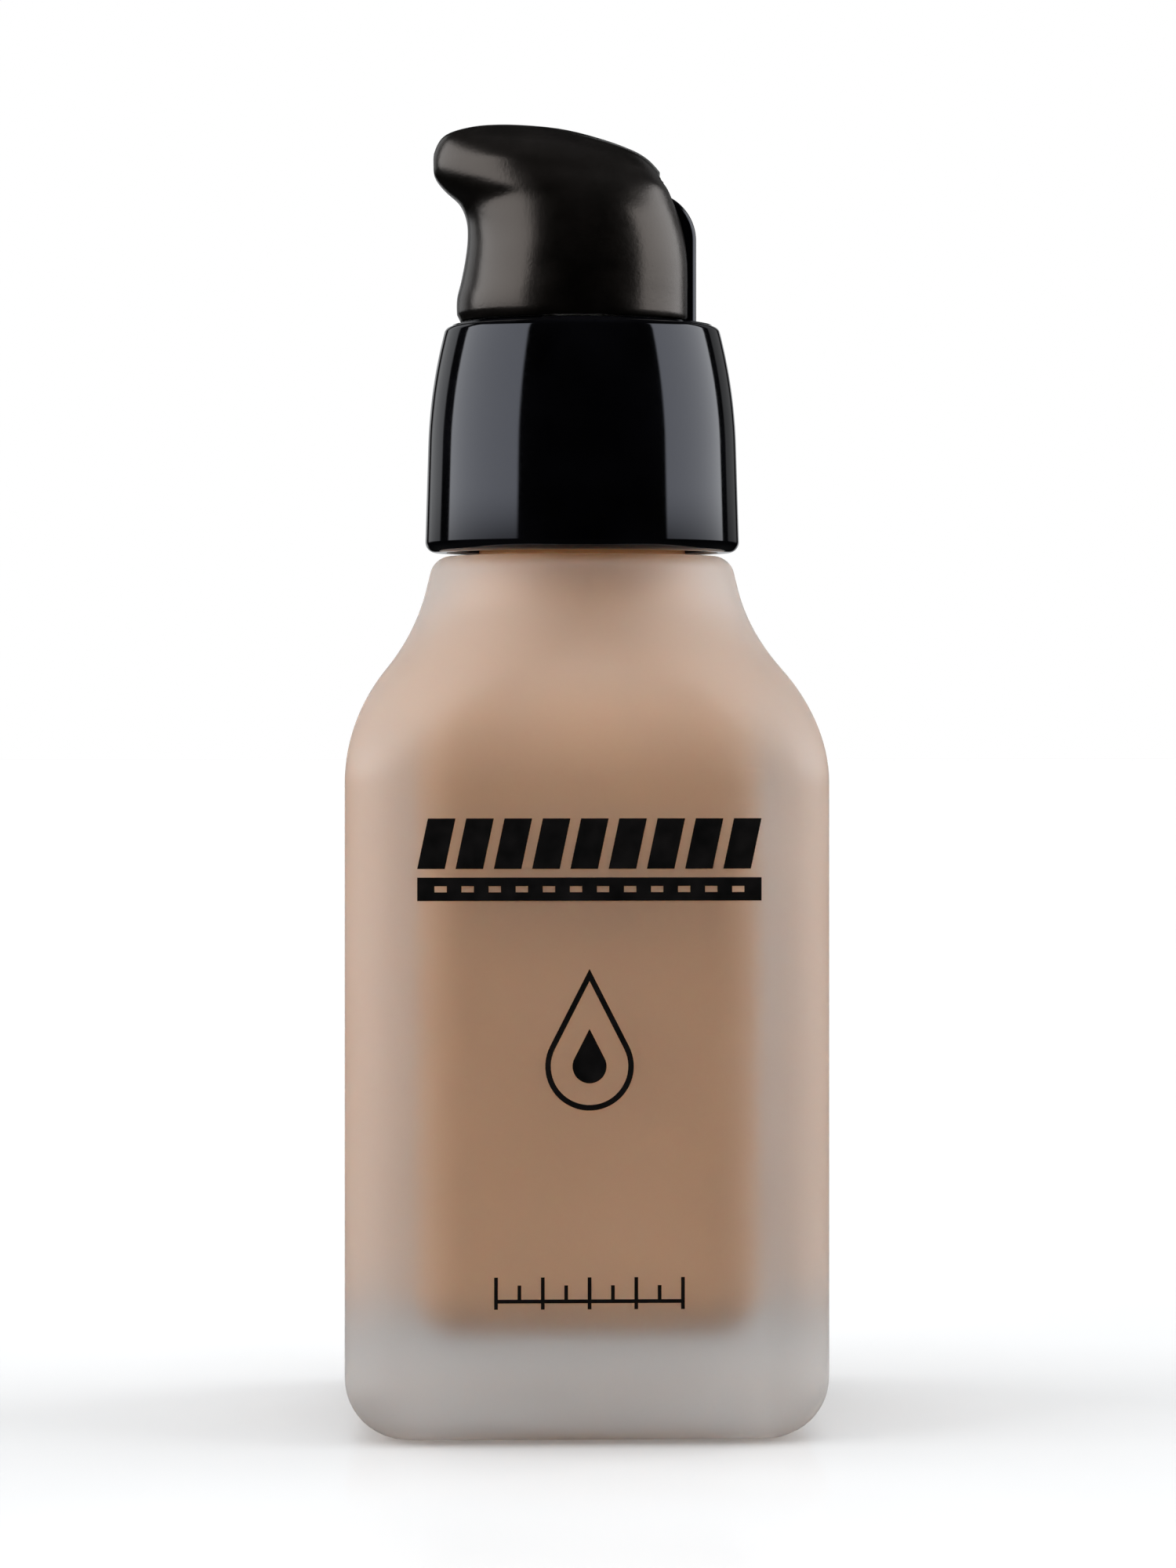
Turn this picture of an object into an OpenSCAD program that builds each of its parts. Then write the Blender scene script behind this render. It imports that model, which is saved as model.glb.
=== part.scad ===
// Foundation bottle: a thick square glass bottle with a screwed-on treatment pump.
// Z is up and the origin is the centre of the base. The front is -Y and the outlet points to -X.

/* [Glass body] */
// Width and depth of the square body
body_w = 40; // [36:1:50]
// Height at which the straight sides end
straight_h = 54; // [46:1:66]
// Radius of the upright edges
edge_r = 6; // [4:0.5:8]
// Radius between the sides and the base
base_edge_r = 5; // [3:0.5:6]
// Radius of the round shoulder
shoulder_r = 15; // [14:0.5:16.5]
// Radius of the hollow waist above the shoulder
waist_r = 17.6; // [14:0.2:20]
// How far the lip stands out beyond the neck, at the foot of its flank
lip_out = 4.53; // [4:0.1:6]
// Lean of the waist from upright under the lip, in degrees
lip_lean = 14; // [10:1:18]
// Height of the straight flank under the lip
lip_flank_h = 1.5; // [1:0.1:3]
// Radius of the lip's edge
lip_edge_r = 1.8; // [1:0.1:2.2]
// Depth of the recess under the base
punt_depth = 0.8; // [0.4:0.1:1.5]
// Width of the ring that the bottle stands on
foot_w = 3; // [2:0.5:5]

/* [Glass cavity] */
// Thickness of the side walls
wall = 5.5; // [4:0.5:6.5]
// Thickness of the base
base_t = 8.4; // [6:0.2:12]
// Radius of the cavity's upright edges
cavity_edge_r = 4.5; // [3:0.5:6]
// Radius between the cavity's sides and its floor
cavity_floor_r = 4; // [2:0.5:5]
// Height of the liquid's surface above the top of the glass shoulder
fill_rise = 1; // [-20:0.5:2]

/* [Neck] */
// Height of the neck above the shoulder
neck_h = 12; // [11:0.5:15]
// Radius of the neck at the thread's root
neck_r = 8.8; // [8.4:0.1:9.2]
// Thickness of the neck's wall
neck_wall = 1.5; // [1.2:0.1:1.9]
// Pitch of the thread
thread_pitch = 3.175; // [3:0.025:3.3]
// Height of the thread's ridge
thread_h = 1.05; // [0.8:0.05:1.1]
// Turns of thread on the neck
thread_turns = 1.5; // [1:0.25:1.75]

/* [Closure and collar] */
// Thickness of the closure's side wall
closure_wall = 1.3; // [1:0.1:1.6]
// Thickness of the closure's top plate
closure_top_t = 1; // [0.8:0.1:1.4]
// Thickness of the collar's wall at its foot
collar_wall = 1.95; // [1.6:0.05:2.6]
// Lean of the collar's lower wall from upright, in degrees
collar_lean = 1.7; // [0:0.1:3]
// Height of the collar's lower wall
collar_wall_h = 8.2; // [6:0.1:11]
// Radius of the curve that draws the collar in towards its top
collar_crown_r = 44; // [40:1:60]
// Radius of the collar's lower edge
collar_foot_r = 0.9; // [0.4:0.1:1.2]
// Radius of the collar's upper edge
collar_rim_r = 0.6; // [0.3:0.1:0.8]
// Width of the flat rim round the opening that the actuator sinks into
collar_rim_w = 0.25; // [0.2:0.05:0.7]
// Depth of the lip round that opening
collar_lip_t = 1; // [0.8:0.1:1.5]

/* [Rear guard] */
// Width of the guard
guard_w = 5.4; // [4:0.2:7]
// Distance of the guard's outer face from the edge of the collar's opening
guard_inset = 1.05; // [0.8:0.05:1.2]
// Depth of the guard from front to back
guard_t = 3; // [2:0.2:3.6]
// Height of the guard above the collar
guard_h = 11.5; // [8:0.5:12]
// Radius of the guard's round top
guard_top_r = 4.2; // [4:0.1:7]

/* [Actuator] */
// Height of the actuator
actuator_h = 16.9; // [15:0.1:20]
// Reach of the beak beyond the front of the skirt
beak_out = 2.1; // [1.2:0.1:4]
// How much further the skirt reaches at its front than at its back and sides
skirt_front_out = 1.25; // [0.8:0.05:1.4]
// Room left under the skirt when the actuator is pressed down
skirt_floor_gap = 1.15; // [0.5:0.05:2]
// Thickness of the actuator's wall
actuator_wall = 1.1; // [0.8:0.1:1.4]
// Radius of the outlet channel in the beak
channel_r = 0.7; // [0.5:0.05:0.8]
// Radius of the outlet bush
nozzle_r = 1; // [0.9:0.05:1.1]
// Length of the outlet bush
nozzle_len = 1.6; // [1.2:0.1:2]
// Radius of the outlet hole
orifice_r = 0.5; // [0.4:0.05:0.6]

/* [Pump] */
// Travel of the actuator
stroke = 4; // [3:0.1:4.2]
// Radius of the stem
stem_r = 2.3; // [2:0.05:2.5]
// Radius of the stem's channel
stem_bore_r = 1.2; // [0.9:0.05:1.3]
// Radius of the piston chamber
chamber_r = 4; // [3.6:0.1:4.4]
// Thickness of the chamber's wall
chamber_wall = 1; // [0.8:0.05:1.1]
// Depth of the cup
cup_h = 9.3; // [8:0.1:11]
// Height of the piston
piston_h = 4.4; // [3.6:0.1:5]
// Slip of the piston on the stem, which opens the ports
piston_slip = 0.8; // [0.5:0.05:1]
// Radius of the inlet ball
ball_r = 1.5; // [1.3:0.05:1.6]
// Lift of the inlet ball
ball_lift = 1; // [0.6:0.1:1.2]
// Radius of the dip tube
tube_r = 2; // [1.7:0.1:2.4]
// Wall of the dip tube
tube_wall = 0.7; // [0.4:0.1:0.9]
// Thickness of the neck gasket
gasket_t = 0.8; // [0.5:0.1:1.2]
// Thickness of the housing's flange
flange_t = 1; // [0.8:0.1:1.4]

/* [Spring] */
// Radius of the spring's wire
wire_r = 0.3; // [0.2:0.02:0.32]
// Turns of the spring
spring_turns = 6; // [4:0.5:6]
// Radius of the spring, to the middle of its wire
spring_r = 2.9; // [2.6:0.05:3]

/* [Print] */
// Distance of the band of slanted stripes from the bottle's rounded edges
band_inset = 0; // [0:0.5:4]
// Height of the stripes
stripe_h = 4.1; // [3:0.1:6]
// Number of stripes
stripe_count = 9; // [5:1:13]
// Height of the solid bar below the stripes
bar_h = 1.9; // [1:0.1:3]
// Distance of the middle of the stripes below the end of the straight sides
band_drop = 4.8; // [4:0.2:10]
// Distance of the middle of the drop emblem below that of the stripes
emblem_drop = 18.1; // [14:0.2:24]
// Radius of the round end of the drop emblem
emblem_r = 3.6; // [2.5:0.1:4.5]
// Height of the row of ticks above the base
ticks_z = 12; // [10:0.2:16]
// Thickness of the ink
ink_t = 0.05; // [0.03:0.01:0.1]

/* [Clearances] */
// Radial gap of parts that slide or turn in one another
running_gap = 0.05; // [0.02:0.01:0.08]
// Gap between faces that come together as the part moves
face_gap = 0.1; // [0.05:0.05:0.2]
// Gap between the collar and the glass, and between the actuator, the collar and its guard
visible_gap = 0.3; // [0.2:0.05:0.35]
// Gap between the skirt and the edge of the collar's opening
mouth_gap = 0.25; // [0.2:0.05:0.4]
// Gap between the pump's cup and the neck's bore
cup_gap = 0.4; // [0.2:0.05:0.6]
// Gap between the liquid and what it touches
film_gap = 0.05; // [0.03:0.01:0.1]

/* [Hidden] */
$fn = 64;
eps = 0.01;

// Colours
glass_colour = [0.78, 0.76, 0.74, 0.6];
liquid_colour = [0.62, 0.46, 0.36];
ink_colour = [0.02, 0.02, 0.02];
gloss_black = [0.03, 0.03, 0.035];
matte_black = [0.12, 0.11, 0.105];
natural_plastic = [0.93, 0.93, 0.9];
steel_colour = [0.7, 0.71, 0.73];

// Glass outline: the shoulder's arc turns into the waist's arc, and the waist into a straight flank.
// The shoulder leans as far as it must for the waist to come in to the lip.
half_w = body_w / 2;
half_flat = half_w - edge_r;
shoulder_c = [half_w - shoulder_r, straight_h];
waist_c_x = neck_r + lip_out + waist_r * cos(lip_lean);
shoulder_lean = acos((waist_c_x - shoulder_c[0]) / (shoulder_r + waist_r));
turn_point = shoulder_c + shoulder_r * [cos(shoulder_lean), sin(shoulder_lean)];
waist_c = turn_point + waist_r * [cos(shoulder_lean), sin(shoulder_lean)];
flank_foot = waist_c - waist_r * [cos(lip_lean), sin(lip_lean)];
flank_top = flank_foot + lip_flank_h * [-tan(lip_lean), 1];
lip_c = flank_top - lip_edge_r * [cos(lip_lean), sin(lip_lean)];
glass_top_z = lip_c[1] + lip_edge_r;
round_z = flank_foot[1];
least_flat = 0.05;
corner_steps = 14;

// Cavity outline: the same arcs, drawn in by the wall
neck_bore_r = neck_r - neck_wall;
cavity_half_w = half_w - wall;
cavity_flat = cavity_half_w - cavity_edge_r;
cavity_foot = waist_c - (waist_r + wall) * [cos(lip_lean), sin(lip_lean)];
cavity_top = [neck_bore_r, cavity_foot[1] + max(0.2, (cavity_foot[0] - neck_bore_r) / tan(lip_lean))];
fill_z = glass_top_z + fill_rise;

// Print on the flat of the front
band_w = body_w - 2 * edge_r - 2 * band_inset;
band_z = straight_h - band_drop;
emblem_z = band_z - emblem_drop;

// Neck, from the shoulder up to its rim
rim_z = glass_top_z + neck_h;
thread_root_w = 1.9;
thread_crest_w = 0.9;
thread_sink = 0.3;
thread_steps = 24;
thread_fade = 30;
neck_thread_z = rim_z - 2 - thread_turns * thread_pitch - thread_root_w / 2;

// Stack on the neck's rim
cup_r = neck_bore_r - cup_gap;
flange_z = rim_z + gasket_t;
flange_top_z = flange_z + flange_t;
closure_plate_z = flange_top_z + running_gap;
closure_top_z = closure_plate_z + closure_top_t;
closure_bore_r = neck_r + thread_h + 0.3;
closure_r = closure_bore_r + closure_wall;
closure_foot_z = glass_top_z + 1;
closure_hole_r = 4.2;

// Collar and guard
collar_z = glass_top_z + visible_gap;
collar_r = closure_r + collar_wall;
actuator_z = closure_top_z + stroke + skirt_floor_gap;
collar_top_z = actuator_z - visible_gap;
crown_z = collar_z + collar_foot_r + collar_wall_h;
crown_foot_r = collar_r - collar_wall_h * tan(collar_lean);
crown_c = [crown_foot_r - collar_crown_r * cos(collar_lean), crown_z - collar_crown_r * sin(collar_lean)];
crown_end = asin((collar_top_z - collar_rim_r - crown_c[1]) / collar_crown_r);
crown_top = crown_c + collar_crown_r * [cos(crown_end), sin(crown_end)];
rim_c = crown_top - collar_rim_r * [cos(crown_end), sin(crown_end)];
collar_mouth_r = rim_c[0] - collar_rim_w;
upper_bore_r = collar_mouth_r + 0.15;
guard_r = collar_mouth_r - guard_inset;
guard_back_x = guard_r - guard_t;
guard_top_z = collar_top_z + guard_h;

// Actuator rings: how far the front stands beyond the skirt's front, and its height; how far the
// back stands in from the skirt's back, and its height; how far the sides stand in; and how much
// the front half narrows. They are drawn for the two sizes below and stretched to those set above.
RING_BEAK_OUT = 2.1;
RING_HEIGHT = 16.9;
ACTUATOR_RINGS = [
    [-0.2, 0, 0, 0, 0.05, 0],
    [0, 0.6, 0, 0.6, 0, 0],
    [0, 2, 0, 2, 0, 0],
    [-0.35, 3.5, 0, 3.5, 0.05, 0],
    [-0.7, 5.3, 0.05, 5.3, 0.15, 0],
    [-0.9, 7.1, 0.3, 7.1, 0.35, 0.05],
    [-0.8, 8.7, 0.7, 8.7, 0.65, 0.1],
    [-0.2, 10.1, 1.15, 10.1, 1.05, 0.2],
    [1.1, 11.3, 1.6, 11.3, 1.45, 0.3],
    [1.9, 12.4, 2.35, 12.3, 1.95, 0.35],
    [2.1, 13.8, 3.25, 13.4, 2.55, 0.35],
    [1.6, 15.3, 4.05, 14.1, 3.45, 0.3],
    [0.7, 16.1, 5.15, 14.7, 4.55, 0.2],
    [-1.2, 16.65, 7.25, 15.5, 6.25, 0.1],
    [-3.2, 16.85, 10.45, 16.4, 7.85, 0]
];
ring_points = 44;
nose_power = 0.75;
nose_start = 3.5;
nose_full = 11;
hollow_rings = 9;
skirt_front_r = collar_mouth_r - mouth_gap;
skirt_r = skirt_front_r - skirt_front_out;
beak_reach = skirt_front_r + beak_out;
beak_z = actuator_z + 13.4 * actuator_h / RING_HEIGHT;
ceiling_z = actuator_z + 11.3 * actuator_h / RING_HEIGHT;
beak_x = -beak_reach + 0.3;
channel_end_x = beak_x + nozzle_len;

// Core and stem
core_r = stem_r + 1.1;
core_z = closure_top_z + stroke + 0.5;
spigot_r = stem_r + 0.1;
spigot_h = 0.9;
socket_depth = 4.6;
stem_top_z = core_z + socket_depth;

// Inside the housing, from the cup's floor down
cup_wall = 1;
cup_floor_z = flange_top_z - cup_h;
cup_bore_r = cup_r - cup_wall;
stem_flange_t = 1;
stem_flange_r = stem_r + 0.9;
stem_flange_z = cup_floor_z - face_gap - stem_flange_t;
piston_z = stem_flange_z - piston_slip - piston_h;
seat_t = 1;
seat_r = chamber_r - 0.6;
seat_z = piston_z - seat_t;
port_h = 1.2;
coil_room = 2 * wire_r * spring_turns + 0.6;
chamber_floor_z = seat_z - stroke - coil_room;
ball_pocket_r = ball_r + 0.4;
ball_stop_r = ball_r - 0.35;
ball_seat_r = ball_r - 0.4;
ball_stop_t = 0.5;
ball_fit = 0.02;
seat_to_ball = sqrt(pow(ball_r, 2) - pow(ball_seat_r, 2)) + ball_fit;
stop_to_ball = sqrt(pow(ball_r, 2) - pow(ball_stop_r, 2)) + ball_fit;
ball_seat_z = chamber_floor_z - ball_stop_t - stop_to_ball - ball_lift - seat_to_ball;
ball_z = ball_seat_z + seat_to_ball;
socket_h = 5;
inlet_h = 1.5;
tube_top_z = ball_seat_z - inlet_h;
socket_z = tube_top_z - socket_h;
socket_r = tube_r + 1;
chamber_out_r = chamber_r + chamber_wall;
tube_foot_z = base_t + 1.2;

// Lock ring in the cup
ring_mouth_r = 2.6;
ring_room_r = 3.6;
ring_nose_r = 3.8;
ring_nose_h = 0.9;
ring_foot_h = 1.5;
ring_guide_h = 2.3;

// An arc about c from angle a to angle b, as points
function arc(c, r, a, b, steps = 8) =
    [for (i = [0 : steps]) c + r * [cos(a + (b - a) * i / steps), sin(a + (b - a) * i / steps)]];

// A list without its first member, for an arc that starts where the one before it ends
function after_first(list) = [for (i = [1 : len(list) - 1]) list[i]];

// 0 below a, 1 above b, and an easy change between them
function ease(x, a, b) =
    let (t = min(1, max(0, (x - a) / (b - a))))
    t * t * (3 - 2 * t);

// A square of half width w with round corners, at height z
function square_ring(w, z, flat) =
    let (signs = [[1, 1], [-1, 1], [-1, -1], [1, -1]])
    [for (q = [0 : 3], i = [0 : corner_steps])
        let (a = 90 * (q + i / corner_steps), p = flat * signs[q] + (w - flat) * [cos(a), sin(a)])
        [p[0], p[1], z]];

// Half the length of the flat side at height z: it shrinks to nothing where the neck turns round
function flat_at(z, full) = max(least_flat, full * (1 - ease(z, straight_h, round_z)));

function glass_rings() =
    [for (p = concat(
        arc([half_w - base_edge_r, base_edge_r], base_edge_r, -90, 0, 6),
        arc(shoulder_c, shoulder_r, 0, shoulder_lean, 9),
        after_first(arc(waist_c, waist_r, 180 + shoulder_lean, 180 + lip_lean, 6)),
        arc(lip_c, lip_edge_r, lip_lean, 90, 5)))
        square_ring(p[0], p[1], flat_at(p[1], half_flat))];

// The cavity up to a height, drawn in by inset
function cavity_rings(inset, top) =
    let (
        points = concat(
            arc([cavity_half_w - cavity_floor_r, base_t + cavity_floor_r], cavity_floor_r, -90, 0, 5),
            arc(shoulder_c, shoulder_r - wall, 0, shoulder_lean, 7),
            after_first(arc(waist_c, waist_r + wall, 180 + shoulder_lean, 180 + lip_lean, 6)),
            [cavity_top, [neck_bore_r, rim_z + 1]]),
        below = [for (p = points) if (p[1] < top) p],
        top_w = lookup(top, [for (p = points) [p[1], p[0]]]))
    [for (p = concat(below, [[top_w, top]]))
        square_ring(p[0] - inset, max(p[1], base_t + inset), flat_at(p[1], cavity_flat))];

// Joins rings of equally many points into a closed solid
module loft(rings) {
    n = len(rings[0]);
    last = len(rings) - 1;
    sides = [for (k = [0 : last - 1], i = [0 : n - 1])
        let (j = (i + 1) % n)
        [k * n + i, (k + 1) * n + i, (k + 1) * n + j, k * n + j]];
    floor_face = [[for (i = [0 : n - 1]) i]];
    top_face = [[for (i = [n - 1 : -1 : 0]) last * n + i]];
    polyhedron([for (ring = rings) each ring], concat(sides, floor_face, top_face), convexity = 6);
}

// Winds a four-sided ridge about Z. side is 1 for a ridge that stands outwards, -1 for inwards
module thread(r, z, turns, side) {
    steps = round(turns * thread_steps);
    profiles = [for (i = [0 : steps])
        let (
            a = 360 * i / thread_steps,
            end = min(a, 360 * turns - a),
            h = thread_h * (0.1 + 0.9 * ease(end, 0, thread_fade)),
            zc = z + thread_pitch * a / 360,
            root = r - side * thread_sink,
            crest = r + side * h,
            corners = [[root, -thread_root_w / 2], [crest, -thread_crest_w / 2],
                [crest, thread_crest_w / 2], [root, thread_root_w / 2]])
        [for (c = corners) [c[0] * cos(a), c[0] * sin(a), zc + c[1]]]];
    loft(side > 0 ? [for (p = profiles) [for (i = [3 : -1 : 0]) p[i]]] : profiles);
}

// A tube or disc about Z, from z0 to z1
module ring(outer, inner, z0, z1) {
    translate([0, 0, z0])
        difference() {
            cylinder(r = outer, h = z1 - z0);
            translate([0, 0, -eps])
                cylinder(r = inner, h = z1 - z0 + 2 * eps);
        }
}

module rod(r, z0, z1) {
    translate([0, 0, z0])
        cylinder(r = r, h = z1 - z0);
}

// The housing's outside and the dip tube, grown by a gap
module pump_envelope(gap) {
    rod(cup_r + gap, cup_floor_z - cup_wall - gap, rim_z);
    rod(chamber_out_r + gap, chamber_floor_z - chamber_wall - gap, rim_z);
    rod(socket_r + gap, socket_z - gap, rim_z);
    rod(tube_r + gap, tube_foot_z - gap, rim_z);
}

module bottle() {
    color(glass_colour)
        difference() {
            union() {
                loft(glass_rings());
                rod(neck_r, glass_top_z - 1, rim_z);
                thread(neck_r, neck_thread_z, thread_turns, 1);
            }
            loft(cavity_rings(0, cavity_top[1]));
            rod(neck_bore_r, cavity_top[1] - eps, rim_z + 1);
            rod(half_w - base_edge_r - foot_w, -1, punt_depth);
        }
}

module foundation_fill() {
    color(liquid_colour)
        difference() {
            loft(cavity_rings(film_gap, fill_z));
            pump_envelope(film_gap);
        }
}

// Places a flat shape upright on the front face, as ink
module ink_on_front() {
    translate([0, -half_w, 0])
        rotate([90, 0, 0])
            linear_extrude(ink_t)
                children();
}

module stripes() {
    pitch = band_w / stripe_count;
    stripe_w = 0.72 * pitch;
    slant = 0.28 * pitch;
    for (i = [0 : stripe_count - 1])
        translate([i * pitch - band_w / 2, -stripe_h / 2])
            polygon([[0, 0], [stripe_w, 0], [stripe_w + slant, stripe_h], [slant, stripe_h]]);
}

module dashed_bar() {
    dash = [1, 0.5];
    pitch = 2.2;
    count = floor(band_w / pitch);
    difference() {
        square([band_w, bar_h], center = true);
        for (i = [0 : count - 1])
            translate([(i - (count - 1) / 2) * pitch, 0])
                square(dash, center = true);
    }
}

module drop_shape(r) {
    tip = 2.2 * r;
    touch = asin(r / tip);
    circle(r);
    polygon([[0, tip], [-r * cos(touch), r * sin(touch)], [r * cos(touch), r * sin(touch)]]);
}

module drop_emblem() {
    line = 0.45;
    difference() {
        drop_shape(emblem_r);
        drop_shape(emblem_r - line);
    }
    drop_shape(emblem_r / 2.6);
}

module tick_row() {
    count = 9;
    pitch = 1.9;
    tick = [0.3, 1.3];
    for (i = [0 : count - 1])
        translate([(i - (count - 1) / 2) * pitch, tick[1] / 2])
            square([tick[0], i % 2 == 0 ? 2 * tick[1] : tick[1]], center = true);
    square([(count - 1) * pitch + tick[0], tick[0]], center = true);
}

module front_print() {
    bar_gap = 0.7;
    color(ink_colour)
        ink_on_front() {
            translate([0, band_z])
                stripes();
            translate([0, band_z - stripe_h / 2 - bar_gap - bar_h / 2])
                dashed_bar();
            translate([0, emblem_z])
                drop_emblem();
            translate([0, ticks_z])
                tick_row();
        }
}

module dip_tube() {
    color(natural_plastic)
        ring(tube_r, tube_r - tube_wall, tube_foot_z, tube_top_z);
}

// Stops round the ball's pocket, which keep the ball under the spring
module ball_stops() {
    count = 3;
    width = 0.8;
    for (i = [0 : count - 1])
        rotate([0, 0, i * 360 / count])
            translate([ball_stop_r, -width / 2, chamber_floor_z - ball_stop_t])
                cube([ball_pocket_r - ball_stop_r + 0.2, width, ball_stop_t]);
}

module pump_housing() {
    vent_r = 0.4;
    color(natural_plastic) {
        difference() {
            union() {
                rod(neck_r, flange_z, flange_top_z);
                rod(cup_r, cup_floor_z - cup_wall, flange_top_z);
                rod(chamber_out_r, chamber_floor_z - chamber_wall, cup_floor_z);
                rod(socket_r, socket_z, chamber_floor_z);
            }
            rod(cup_bore_r, cup_floor_z, flange_top_z + 1);
            rod(chamber_r, chamber_floor_z, cup_floor_z + 1);
            rod(ball_pocket_r, ball_seat_z, chamber_floor_z + eps);
            rod(ball_seat_r, tube_top_z - eps, ball_seat_z + eps);
            rod(tube_r, socket_z - 1, tube_top_z);
            translate([0, 0, cup_floor_z + 2])
                rotate([90, 0, 0])
                    cylinder(r = vent_r, h = cup_r + 1);
        }
        ball_stops();
    }
}

module inlet_ball() {
    color(steel_colour)
        translate([0, 0, ball_z])
            sphere(ball_r);
}

// The end turns lie closer together than the turns between them
module return_spring() {
    steps_per_turn = 18;
    wire_sides = 8;
    low = chamber_floor_z + wire_r;
    high = seat_z - wire_r;
    steps = round(spring_turns * steps_per_turn);
    end_share = 1 / spring_turns;
    end_rise = 2.2 * wire_r;
    function height(t) =
        t < end_share ? low + end_rise * t / end_share
        : t > 1 - end_share ? high - end_rise * (1 - t) / end_share
        : low + end_rise + (high - low - 2 * end_rise) * (t - end_share) / (1 - 2 * end_share);
    color(steel_colour)
        loft([for (i = [0 : steps])
            let (a = 360 * i / steps_per_turn, z = height(i / steps))
            [for (k = [0 : wire_sides - 1])
                let (b = -360 * k / wire_sides, r = spring_r + wire_r * cos(b))
                [r * cos(a), r * sin(a), z + wire_r * sin(b)]]]);
}

module piston() {
    waist = 0.5;
    lip_h = 1;
    bore_r = stem_r + running_gap;
    lip_r = chamber_r - running_gap / 2;
    color(natural_plastic)
        translate([0, 0, piston_z])
            rotate_extrude()
                polygon([[bore_r, 0], [lip_r - 0.3, 0], [lip_r, 0.3], [lip_r, lip_h - 0.2],
                    [lip_r - waist, lip_h + 0.4], [lip_r - waist, piston_h - lip_h - 0.4],
                    [lip_r, piston_h - lip_h + 0.2], [lip_r, piston_h - 0.3],
                    [lip_r - 0.3, piston_h], [bore_r, piston_h]]);
}

// A disc that closes the ports, held by a crossed shank that lets liquid by
module piston_seat() {
    shank_h = 5;
    rib = 0.6;
    color(natural_plastic) {
        rod(seat_r, seat_z, piston_z - ball_fit);
        intersection() {
            rod(stem_bore_r, piston_z - ball_fit - eps, piston_z + shank_h);
            for (a = [0, 90])
                rotate([0, 0, a])
                    translate([-stem_r, -rib / 2, seat_z])
                        cube([2 * stem_r, rib, seat_t + shank_h]);
        }
    }
}

module stem() {
    port_w = 1.2;
    color(natural_plastic)
        difference() {
            union() {
                rod(stem_r, piston_z - ball_fit, stem_top_z);
                rod(stem_flange_r, stem_flange_z, stem_flange_z + stem_flange_t);
            }
            rod(stem_bore_r, piston_z - 1, stem_top_z + 1);
            for (a = [45, 135])
                rotate([0, 0, a])
                    translate([-stem_r - 1, -port_w / 2, piston_z - 1])
                        cube([2 * stem_r + 2, port_w, port_h + 1]);
        }
}

module housing_lock_ring() {
    guide_r = stem_r + running_gap;
    guide_z = flange_top_z - ring_guide_h;
    color(natural_plastic)
        difference() {
            union() {
                rod(cup_bore_r, cup_floor_z, flange_top_z);
                rod(ring_nose_r, flange_top_z - 1, flange_top_z + ring_nose_h);
            }
            rod(ring_mouth_r, cup_floor_z - 1, guide_z - 1);
            rod(ring_room_r, cup_floor_z + ring_foot_h, guide_z);
            rod(guide_r, guide_z - eps, flange_top_z + ring_nose_h + 1);
        }
}

module neck_gasket() {
    color("white")
        ring(neck_r, cup_r, rim_z, flange_z);
}

module screw_closure() {
    turns = 1.25;
    color(natural_plastic) {
        difference() {
            rod(closure_r, closure_foot_z, closure_top_z);
            rod(closure_bore_r, closure_foot_z - 1, closure_plate_z);
            rod(closure_hole_r, closure_plate_z - 1, closure_top_z + 1);
        }
        thread(closure_bore_r, neck_thread_z - thread_pitch / 2, turns, -1);
    }
}

// The guard's outline from the side, standing on the closure and rounded at its back
module guard_side() {
    top_c = [guard_r - guard_top_r, guard_top_z - guard_top_r];
    back_angle = acos(1 - guard_t / guard_top_r);
    polygon(concat(
        [[guard_back_x, closure_top_z], [guard_r, closure_top_z]],
        arc(top_c, guard_top_r, 0, back_angle, 12)));
}

module rear_guard() {
    root_top = collar_top_z - collar_rim_r / 2;
    intersection() {
        translate([0, guard_w / 2, 0])
            rotate([90, 0, 0])
                linear_extrude(guard_w)
                    guard_side();
        rod(guard_r, closure_top_z, guard_top_z);
    }
    translate([guard_back_x, -guard_w / 2, closure_top_z])
        cube([upper_bore_r + 0.2 - guard_back_x, guard_w, root_top - closure_top_z]);
}

module collar_shell() {
    foot_c = [collar_r - collar_foot_r, collar_z + collar_foot_r];
    outline = concat(
        [[closure_r, collar_z]],
        arc(foot_c, collar_foot_r, -90, 0, 5),
        arc(crown_c, collar_crown_r, collar_lean, crown_end, 8),
        after_first(arc(rim_c, collar_rim_r, crown_end, 90, 5)),
        [[collar_mouth_r, collar_top_z],
            [collar_mouth_r, collar_top_z - collar_lip_t],
            [upper_bore_r, collar_top_z - collar_lip_t],
            [upper_bore_r, closure_top_z],
            [closure_r, closure_top_z]]);
    color(gloss_black) {
        rotate_extrude()
            polygon(outline);
        rear_guard();
    }
}

// One ring of the actuator, drawn in by inset
function actuator_ring(r, inset) =
    let (
        front_out = r[0] * (r[0] > 0 ? beak_out / RING_BEAK_OUT : 1),
        tall = actuator_h / RING_HEIGHT,
        x0 = inset - skirt_front_r - front_out,
        x1 = skirt_r - r[2] - inset,
        w = skirt_r - r[4] - inset,
        mid = (x0 + x1) / 2,
        half = (x1 - x0) / 2)
    [for (i = [0 : ring_points - 1])
        let (
            a = 360 * i / ring_points,
            along = cos(a),
            power = 1 + (nose_power - 1) * ease(-along, 0, 1) * ease(r[1], nose_start, nose_full),
            narrow = 1 - r[5] * pow(max(0, -along), 2),
            across = sign(sin(a)) * pow(abs(sin(a)), power) * narrow,
            z = r[1] + (r[3] - r[1]) * (1 + along) / 2)
        [mid + half * along, w * across, actuator_z + z * tall]];

module actuator_outside() {
    loft([for (r = ACTUATOR_RINGS) actuator_ring(r, 0)]);
}

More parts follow.
